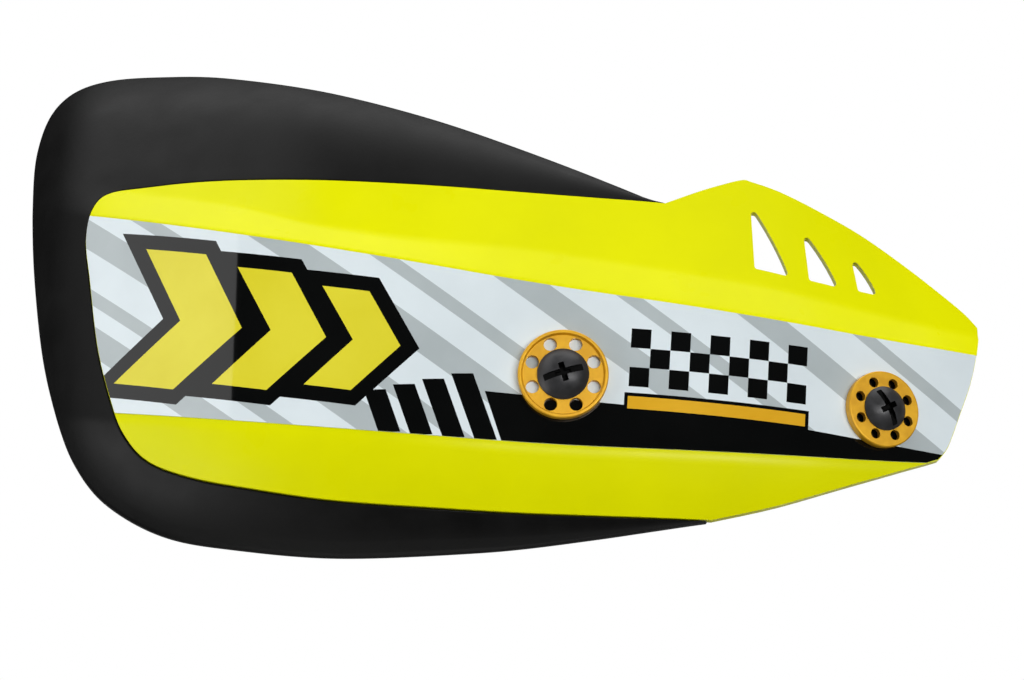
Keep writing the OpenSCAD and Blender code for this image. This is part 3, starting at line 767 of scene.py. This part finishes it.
def insetLoop(points, inset):  # every point moved in along the mean of its two sides
    result = []
    size = len(points)
    for k in range(size):
        along = (points[(k + 1) % size] - points[k - 1]).normalized()
        result.append(points[k] + Vector((-along.y, along.x)) * inset)
    return result


def cutAlong(bm, a, b):  # cuts the faces near one straight edge of the print
    a, b = Vector(a), Vector(b)
    along = b - a
    low = [min(a[k], b[k]) - 0.01 for k in (0, 1)]
    high = [max(a[k], b[k]) + 0.01 for k in (0, 1)]
    near = {}  # a dictionary keeps its order, so every run cuts alike
    for f in bm.faces:
        xs = [v.co.x for v in f.verts]
        zs = [v.co.z for v in f.verts]
        if max(xs) > low[0] and min(xs) < high[0] and max(zs) > low[1] and min(zs) < high[1]:
            near.update(dict.fromkeys([f, *f.edges, *f.verts]))
    bmesh.ops.bisect_plane(bm, geom=list(near), dist=1e-4, plane_co=(a.x, 0, a.y),
                           plane_no=(along.y, 0, -along.x))


def planNormal(x):
    slope = (planY(x + 0.02) - planY(x - 0.02)) / 0.04
    return Vector((slope, -1, 0)).normalized()


def makeDecal(materials):
    bm = bmesh.new()
    loops = addLoop(bm, [(p.x, toLines(p.x, p.y)) for p in insetLoop(coreOutline, film["inset"])])
    for points in boreLoops(24):
        loops += addLoop(bm, points)
    fillPlate(bm, loops)
    sliceAcross(bm, 2, [film["ends"][0]], clear_inner=True)
    sliceAcross(bm, 2, [film["ends"][1]], clear_outer=True)
    sliceAlong(bm, film["cutX"])
    sliceAcross(bm, 2, film["rows"])
    for v in bm.verts:
        v.co.z = fromLines(v.co.x, v.co.z)
    for ink, shapes in prints:
        for shape in shapes:
            for k in range(len(shape)):
                cutAlong(bm, shape[k - 1], shape[k])
    for f in bm.faces:
        middle = f.calc_center_median()
        for ink, shapes in prints:
            if any(within((middle.x, middle.z), shape) for shape in shapes):
                f.material_index = ink
    bmesh.ops.translate(bm, vec=(0, film["depth"], 0), verts=bm.verts[:])
    thicken(bm, -film["thick"])
    for f in bm.faces:
        if f.normal.y > -0.5:  # only the front is printed
            f.material_index = 0
    for v in bm.verts:
        v.co = placeAt(v.co.x, v.co.z, v.co.y)
    mesh = finishPiece("decal_film", bm, materials, "decal", weighted=False).data
    normals = []
    for face in mesh.polygons:  # the front mirrors as one even curve
        for k in face.vertices:
            smooth = planNormal(mesh.vertices[k].co.x / mm)
            facing = face.normal.dot(smooth)
            if abs(facing) > 0.9:
                normals.append(smooth if facing > 0 else -smooth)
            else:
                normals.append(face.normal.copy())
    mesh.normals_split_custom_set(normals)


# Vented washers: a drilled plate with a raised rim, every edge broken

washers = {
    "outer": {"radius": 11.35, "bore": 3.25, "ring": 8.325, "vent": 1.65, "flipped": False},
    "inner": {"radius": 9.85, "bore": 2.75, "ring": 7.175, "vent": 1.3, "flipped": True},
    "low": 0.5, "floor": 1.5, "rimHigh": 1, "rimWide": 1.2, "rimLean": 0.35,
    "outerRound": (0.4, 9), "edgeRound": (0.08, 2),
    "ventCount": 8, "rimSides": 96, "boreSides": 48, "ventSides": 32,
}


def makeVentedWasher(name, size, seat, material):
    bm = bmesh.new()
    rimInner = size["radius"] - washers["rimWide"]
    outer = addLoop(bm, ringLoop(size["radius"], washers["rimSides"]))
    inner = addLoop(bm, ringLoop(rimInner, washers["rimSides"]))
    holes = addLoop(bm, ringLoop(size["bore"], washers["boreSides"]))
    for k in range(washers["ventCount"]):
        turn = 2 * math.pi * (k + 0.5) / washers["ventCount"]
        centre = (size["ring"] * math.cos(turn), size["ring"] * math.sin(turn))
        holes += addLoop(bm, ringLoop(size["vent"], washers["ventSides"], centre))
    fillPlate(bm, outer + inner)
    bmesh.ops.triangle_fill(bm, use_beauty=True, edges=inner + holes, normal=(0, -1, 0))
    thicken(bm, -washers["floor"])
    rimFoot = -washers["floor"]
    rimTop = rimFoot - washers["rimHigh"]
    rim = [f for f in bm.faces if f.calc_center_median().y < rimFoot + 1e-4
           and all(math.hypot(v.co.x, v.co.z) > rimInner - 0.01 for v in f.verts)]
    made = bmesh.ops.extrude_face_region(bm, geom=rim)["geom"]
    bmesh.ops.translate(bm, vec=(0, -washers["rimHigh"], 0), verts=pick(made, bmesh.types.BMVert))
    bmesh.ops.delete(bm, geom=[f for f in rim if f.is_valid], context="FACES_ONLY")
    for v in bm.verts:  # the rim's inside leans out towards its top
        if v.co.y < rimTop + 1e-4 and math.hypot(v.co.x, v.co.z) < rimInner + 0.01:
            v.co.x *= 1 + washers["rimLean"] / rimInner
            v.co.z *= 1 + washers["rimLean"] / rimInner
    bmesh.ops.recalc_face_normals(bm, faces=bm.faces[:])
    outerEdge = [e for e in sharpEdges(bm, 60) if all(
        math.hypot(v.co.x, v.co.z) > size["radius"] - 0.01 for v in e.verts)]
    bevelEdges(bm, outerEdge, washers["outerRound"])
    bevelEdges(bm, sharpEdges(bm, 42), washers["edgeRound"])
    bmesh.ops.delete(bm, geom=[e for e in bm.edges if not e.link_faces], context="EDGES")
    turnMesh(bm, -90)  # from the front view to outward side up
    if size["flipped"]:
        turnMesh(bm, 180, height=-rimTop / 2)
    liftMesh(bm, washers["low"])
    finishPiece(name + "_turned", bm, [material], name, seat, 12)


# Screws: a low dome with a slot and a cross cut in it, a shank, and a thread on the free stud

screws = {
    "outer": {"shank": 3, "head": 6.5, "headHigh": 3.3, "headLow": 2.0, "pitch": 1.0,
              "threadFrom": -10.6, "end": -20.6, "slotTurn": 16, "slotWide": 1.65, "cross": 2.75},
    "inner": {"shank": 2.5, "head": 5.7, "headHigh": 2.8, "headLow": 3.0, "pitch": 0.8,
              "threadFrom": -9.2, "end": -17.2, "slotTurn": 117, "slotWide": 1.5, "cross": 2.5},
    "headEdge": 0.5, "slotDeep": 1.6, "slotLong": 8, "crossDeep": 2.5, "crossWide": 1.6,
    "crossTaper": 0.6, "edgeRound": (0.1, 2), "domeSteps": 14, "sides": 64,
    "threadDeep": 0.6134, "threadRows": 12, "threadSides": 48, "leadIn": 0.25, "leadOut": 0.75,
}


def boxAt(bm, halfX, halfY, low, high, taper):  # a box on the Z axis, its foot drawn in
    for v in bmesh.ops.create_cube(bm, size=2)["verts"]:
        narrow = taper if v.co.z < 0 else 1
        v.co = Vector((v.co.x * halfX * narrow, v.co.y * halfY * narrow, low if v.co.z < 0 else high))


def carved(bm, cutter):  # the first mesh less the second, by Blender's exact boolean
    objects = []
    for source in (bm, cutter):
        putInOrder(source)
        mesh = bpy.data.meshes.new("carving")
        source.to_mesh(mesh)
        source.free()
        objects.append(bpy.data.objects.new("carving", mesh))
        scene.collection.objects.link(objects[-1])
    cut = objects[0].modifiers.new("cut", "BOOLEAN")
    cut.operation = "DIFFERENCE"
    cut.solver = "EXACT"
    cut.object = objects[1]
    cut.use_self = True
    result = bmesh.new()
    result.from_object(objects[0], bpy.context.evaluated_depsgraph_get())
    for entry in objects:
        mesh = entry.data
        bpy.data.objects.remove(entry)
        bpy.data.meshes.remove(mesh)
    return result


def makeScrew(name, size, seat, materials):
    low, high = size["headLow"], size["headLow"] + size["headHigh"]
    domeHigh = size["headHigh"] - screws["headEdge"]
    domeRadius = (size["head"] ** 2 + domeHigh ** 2) / (2 * domeHigh)
    sweep, steps = math.asin(size["head"] / domeRadius), screws["domeSteps"]
    profile = [(0, size["threadFrom"]), (size["shank"], size["threadFrom"]), (size["shank"], low),
               (size["head"] - 0.1, low), (size["head"], low + 0.1)]
    profile += [(domeRadius * math.sin(sweep * k / steps),
                 high - domeRadius + domeRadius * math.cos(sweep * k / steps))
                for k in range(steps, -1, -1)]
    bm = bmesh.new()
    lathe(bm, profile, screws["sides"])
    slotFoot, crossFoot = high - screws["slotDeep"], high - screws["crossDeep"]
    half = screws["crossWide"] / 2
    for box in ((screws["slotLong"], size["slotWide"] / 2, slotFoot, high + 2, 1),
                (half, size["cross"], crossFoot, high + 0.4, screws["crossTaper"]),
                (size["cross"], half, crossFoot, high + 0.4, screws["crossTaper"])):
        cutter = bmesh.new()
        boxAt(cutter, *box)
        bm = carved(bm, cutter)
    bmesh.ops.remove_doubles(bm, verts=bm.verts[:], dist=0.01)
    bmesh.ops.dissolve_degenerate(bm, dist=0.005, edges=bm.edges[:])
    for f in bm.faces:  # faces well under the dome are the recess's; they get the painted-shade material
        middle = f.calc_center_median()
        out = math.hypot(middle.x, middle.y)
        surface = high - domeRadius + math.sqrt(max(0, domeRadius ** 2 - out ** 2))
        getsPaintedShade = low + 0.1 < middle.z < surface - 0.08 and out < size["head"] - 0.5
        f.material_index = 1 if getsPaintedShade else 0
    cutEdges = [e for e in sharpEdges(bm, 50) if all(v.co.z > low + 0.6 for v in e.verts)]
    bevelEdges(bm, cutEdges, screws["edgeRound"])
    turnMesh(bm, size["slotTurn"], "Z")
    addThread(bm, size)
    finishPiece(name + "_headed", bm, materials, name, seat, 32)


def addThread(bm, size):  # rings of a rod, each point drawn in by where the helix stands there
    pitch, start, end = size["pitch"], size["threadFrom"], size["end"]
    length = start - end
    rows = int(round(length / pitch * screws["threadRows"]))
    made = bmesh.ops.create_cone(bm, cap_ends=True, segments=screws["threadSides"], depth=length,
                                 radius1=size["shank"], radius2=size["shank"])["verts"]
    bmesh.ops.translate(bm, vec=(0, 0, (start + end) / 2), verts=made)
    sides = dict.fromkeys(e for v in made for e in v.link_edges
                          if abs(e.verts[0].co.z - e.verts[1].co.z) > length / 2)
    bmesh.ops.subdivide_edges(bm, edges=list(sides), cuts=rows - 1, use_grid_fill=True)
    for v in bm.verts:
        r = math.hypot(v.co.x, v.co.y)
        if r < size["shank"] - 0.01 or not end - 0.01 <= v.co.z <= start - 0.01:
            continue
        turn = (v.co.z / pitch - math.atan2(v.co.y, v.co.x) / (2 * math.pi)) % 1
        drawn = min(1, max(0, 1.25 - abs(turn - 0.5) * 3)) * screws["threadDeep"] * pitch
        drawn = max(drawn, screws["leadOut"] * pitch - (v.co.z - end))
        drawn *= min(1, (start - v.co.z) / (screws["leadIn"] * pitch))
        v.co.x *= (r - drawn) / r
        v.co.y *= (r - drawn) / r


# Nuts and plain washers behind the shield

fixings = {
    "outer": {"across": 10, "high": 6, "bore": 3.0, "nutTop": -4.6, "washer": 9,
              "washerHigh": 1.6, "washerBore": 3.25, "ringOut": 4.1},
    "inner": {"across": 8, "high": 5, "bore": 2.5, "nutTop": -4.2, "washer": 7.5,
              "washerHigh": 1.2, "washerBore": 2.75, "ringOut": 3.2},
    "washerTop": -3, "washerRound": (0.22, 3), "lip": 0.3, "chamfer": 0.6, "nutRound": (0.12, 2),
    "collar": 0.46, "pitchShare": 0.892, "ringHigh": 1.4, "ringWide": 1.05, "ringRound": 0.18,
}


def makeBackWasher(name, size, seat, material):
    bm = bmesh.new()
    low, high = fixings["washerTop"] - size["washerHigh"], fixings["washerTop"]
    fillPlate(bm, addLoop(bm, ringLoop(size["washer"], 72))
              + addLoop(bm, ringLoop(size["washerBore"], 48)))
    thicken(bm, low - high)
    bevelEdges(bm, sharpEdges(bm, 60), fixings["washerRound"])
    turnMesh(bm, -90)
    liftMesh(bm, low)
    finishPiece(name + "_pressed", bm, [material], name, seat)


def hexHeight(size):
    return size["high"] - fixings["ringHigh"] - fixings["lip"]


def pitchRadius(size):  # where nut and screw thread meet, with a little clearance
    return fixings["pitchShare"] * size["bore"] + 0.05


def turnBehind(bm, top):  # a nut is drawn collar up; it goes on from behind, collar down
    turnMesh(bm, 180)
    liftMesh(bm, top)


def makeLockNut(name, size, seat, material):
    half = size["across"] / 2
    corner = half / math.cos(math.radians(30))
    hexHigh, inner, high = hexHeight(size), pitchRadius(size), size["high"]
    bm = bmesh.new()
    bmesh.ops.create_cone(bm, cap_ends=True, segments=6, radius1=corner, radius2=corner,
                          depth=hexHigh)
    liftMesh(bm, hexHigh / 2)
    cone = bmesh.new()
    lathe(cone, [(half - 0.1, hexHigh + 1), (half - 0.1, hexHigh),
                 (corner + 0.05, hexHigh - fixings["chamfer"]), (corner + 0.05, fixings["chamfer"]),
                 (half - 0.1, 0), (half - 0.1, -1), (corner + 2, -1), (corner + 2, hexHigh + 1),
                 (half - 0.1, hexHigh + 1)], 96)
    bm = carved(bm, cone)
    bore = bmesh.new()
    lathe(bore, [(0, -1), (inner + 0.5, -1), (inner + 0.5, 0), (inner, 0.5), (inner, hexHigh),
                 (0, hexHigh + 1)], 64)
    bm = carved(bm, bore)
    bevelEdges(bm, sharpEdges(bm, 40), fixings["nutRound"])
    collar, ringOut = fixings["collar"] * size["across"], size["ringOut"]
    lathe(bm, [(inner + 1.1, hexHigh - 0.4), (collar - 0.35, hexHigh - 0.4), (collar, hexHigh - 0.1),
               (collar, high - 0.7), (collar - 0.12, high - 0.3), (collar - 0.4, high - 0.08),
               (collar - 0.75, high), (ringOut - 0.3, high - 0.05),
               (ringOut - 0.45, high - fixings["lip"] + 0.05),
               (inner + 1.1, high - fixings["lip"] - 0.25), (inner + 1.1, hexHigh - 0.4)], 72)
    turnBehind(bm, size["nutTop"])
    finishPiece(name + "_headed", bm, [material], name, seat, 30)


def makeNutRing(name, size, seat, material):
    low, inner, r = hexHeight(size), pitchRadius(size), fixings["ringRound"]
    high, out = low + fixings["ringHigh"], inner + fixings["ringWide"]
    bm = bmesh.new()
    lathe(bm, [(inner, low + r), (inner + r, low), (out - r, low), (out, low + r), (out, high - r),
               (out - r, high), (inner + r, high), (inner, high - r), (inner, low + r)], 56)
    turnBehind(bm, size["nutTop"])
    finishPiece(name + "_moulded", bm, [material], name, seat)


# The pieces

print("building the pieces")
# the second material is painted shade for the screws' driver recesses
steelAndRecessShade = [makeGrained("black_plated_steel", blackSteel),
         makeGrained("black_plated_steel_recess_painted_shade", recessPaintedShade)]
zinc = makeGrained("zinc_plated_steel", zincSteel)
nylon = makeGrained("dyed_blue_nylon", blueNylon)

makeCore(makeGrained("moulded_yellow_polypropylene", yellowPlastic))
makeShroud(makeBlackElastomer("moulded_black_elastomer"))
makeDecal([makeFilm(ink) for ink in ("base", "grey", "black", "yellow", "amber")])
for side, seat in (("outer", outerSeat), ("inner", innerSeat)):
    makeVentedWasher(side + "_vented_washer", washers[side], seat,
                     makeGoldAluminium("gold_anodised_aluminium_" + side, seat))
    makeScrew(side + "_screw", screws[side], seat, steelAndRecessShade)
    makeBackWasher(side + "_back_washer", fixings[side], seat, zinc)
    makeLockNut(side + "_lock_nut", fixings[side], seat, zinc)
    makeNutRing(side + "_nut_ring", fixings[side], seat, nylon)


# Studio: camera, softboxes, a white backdrop that only the eye sees, and a pale floor

studio = {
    "cameraAt": (-12.75, -631.1, -156.9), "cameraTilt": 105, "lens": 90,
    "boxes": [  # name, place, aimed at, width, height, brightness
        ("side_softbox", (-1.34, -0.66, 0.39), (-0.1, 0, 0), 0.92, 0.6, 1.3),
        ("corner_softbox", (-1.05, -0.55, 1.0), (-0.1, 0, 0.05), 0.8, 0.6, 2.9),
        ("high_softbox", (0.45, -0.75, 1.9), (0, 0, 0), 2.0, 0.7, 2.0),
        ("upper_softbox", (0.6, -1.6, 1.3), (0, 0, 0), 2.0, 0.6, 0.7),
        ("right_fill", (0.8, -2.1, -0.08), (0, 0, 0), 1.8, 0.42, 17.5),
        ("overhead_softbox", (-0.1, 0.0, 1.25), (-0.1, 0, 0), 1.8, 0.7, 2.5),
        ("foot_softbox", (-1.3, -0.3, -0.52), (-0.1, 0, 0), 0.9, 0.9, 3.4),
        ("back_fill", (1.3, 1.3, 0.2), (0, 0, 0), 1.0, 0.8, 5.0),
    ],
    "floorHeight": -0.8, "floorColor": "#ececea", "floorHalf": (0.7, 0.5), "floorBack": 0.35,
    "backdropY": (0.8, 1.0), "backdropZ": (-0.25, 0.05),  # directions over which it fades in
    "frontGlow": 0.03,  # the studio in front of the object is dark
    "backGlow": 0.9,  # what the white backdrop gives to matt surfaces
}

camera = bpy.data.objects.new("camera", bpy.data.cameras.new("camera"))
camera.data.lens = studio["lens"]
camera.data.sensor_width = 36
camera.data.clip_start = 0.01
camera.location = Vector(studio["cameraAt"]) * mm
camera.rotation_euler = (math.radians(studio["cameraTilt"]), 0, 0)
scene.collection.objects.link(camera)
scene.camera = camera

for name, place, target, wide, high, brightness in studio["boxes"]:
    light = bpy.data.lights.new(name, "AREA")
    light.shape = "RECTANGLE"
    light.size, light.size_y = wide, high
    light.energy = brightness * math.pi * wide * high
    box = bpy.data.objects.new(name, light)
    box.location = place
    box.rotation_euler = (Vector(target) - Vector(place)).to_track_quat("-Z", "Y").to_euler()
    scene.collection.objects.link(box)

world = bpy.data.worlds.new("studio")
world.use_nodes = True
scene.world = world
tree = world.node_tree
tree.nodes.clear()


def merged(operation, a, b):
    return addNode(tree, "ShaderNodeMath", {"operation": operation}, {0: a, 1: b}).outputs[0]


def faded(value, span):  # eased from 0 at the span's start to 1 at its end
    return addNode(tree, "ShaderNodeMapRange", {"interpolation_type": "SMOOTHSTEP"}, {
        "Value": value, "From Min": span[0], "From Max": span[1]}).outputs["Result"]


def between(value, low, high):
    return addNode(tree, "ShaderNodeMapRange", {}, {
        "Value": value, "To Min": low, "To Max": high}).outputs["Result"]


rays = addNode(tree, "ShaderNodeLightPath").outputs
direction = addNode(tree, "ShaderNodeTexCoord").outputs["Generated"]
parts = addNode(tree, "ShaderNodeSeparateXYZ", {}, {"Vector": direction}).outputs
behind = merged("MULTIPLY", faded(parts["Y"], studio["backdropY"]),
                faded(parts["Z"], studio["backdropZ"]))
mirrored = merged("MAXIMUM", rays["Is Glossy Ray"], rays["Is Transmission Ray"])
backdrop = between(behind, studio["frontGlow"], between(mirrored, studio["backGlow"], 1.0))
strength = merged("MAXIMUM", rays["Is Camera Ray"], backdrop)
glow = addNode(tree, "ShaderNodeBackground", {}, {"Color": (1, 1, 1, 1), "Strength": strength})
addNode(tree, "ShaderNodeOutputWorld", {}, {"Surface": glow.outputs[0]})

bm = bmesh.new()
bmesh.ops.create_grid(bm, x_segments=4, y_segments=4, size=1)
bmesh.ops.scale(bm, vec=(*studio["floorHalf"], 1), verts=bm.verts[:])
bmesh.ops.translate(bm, vec=(0, studio["floorBack"], studio["floorHeight"]), verts=bm.verts[:])
mesh = bpy.data.meshes.new("floor")
bm.to_mesh(mesh)
bm.free()
floor = bpy.data.objects.new("floor", mesh)
scene.collection.objects.link(floor)
paper = newMaterial("matt_paper", {"Roughness": 0.9, "Base Color": linear(studio["floorColor"])})
mesh.materials.append(paper[0])
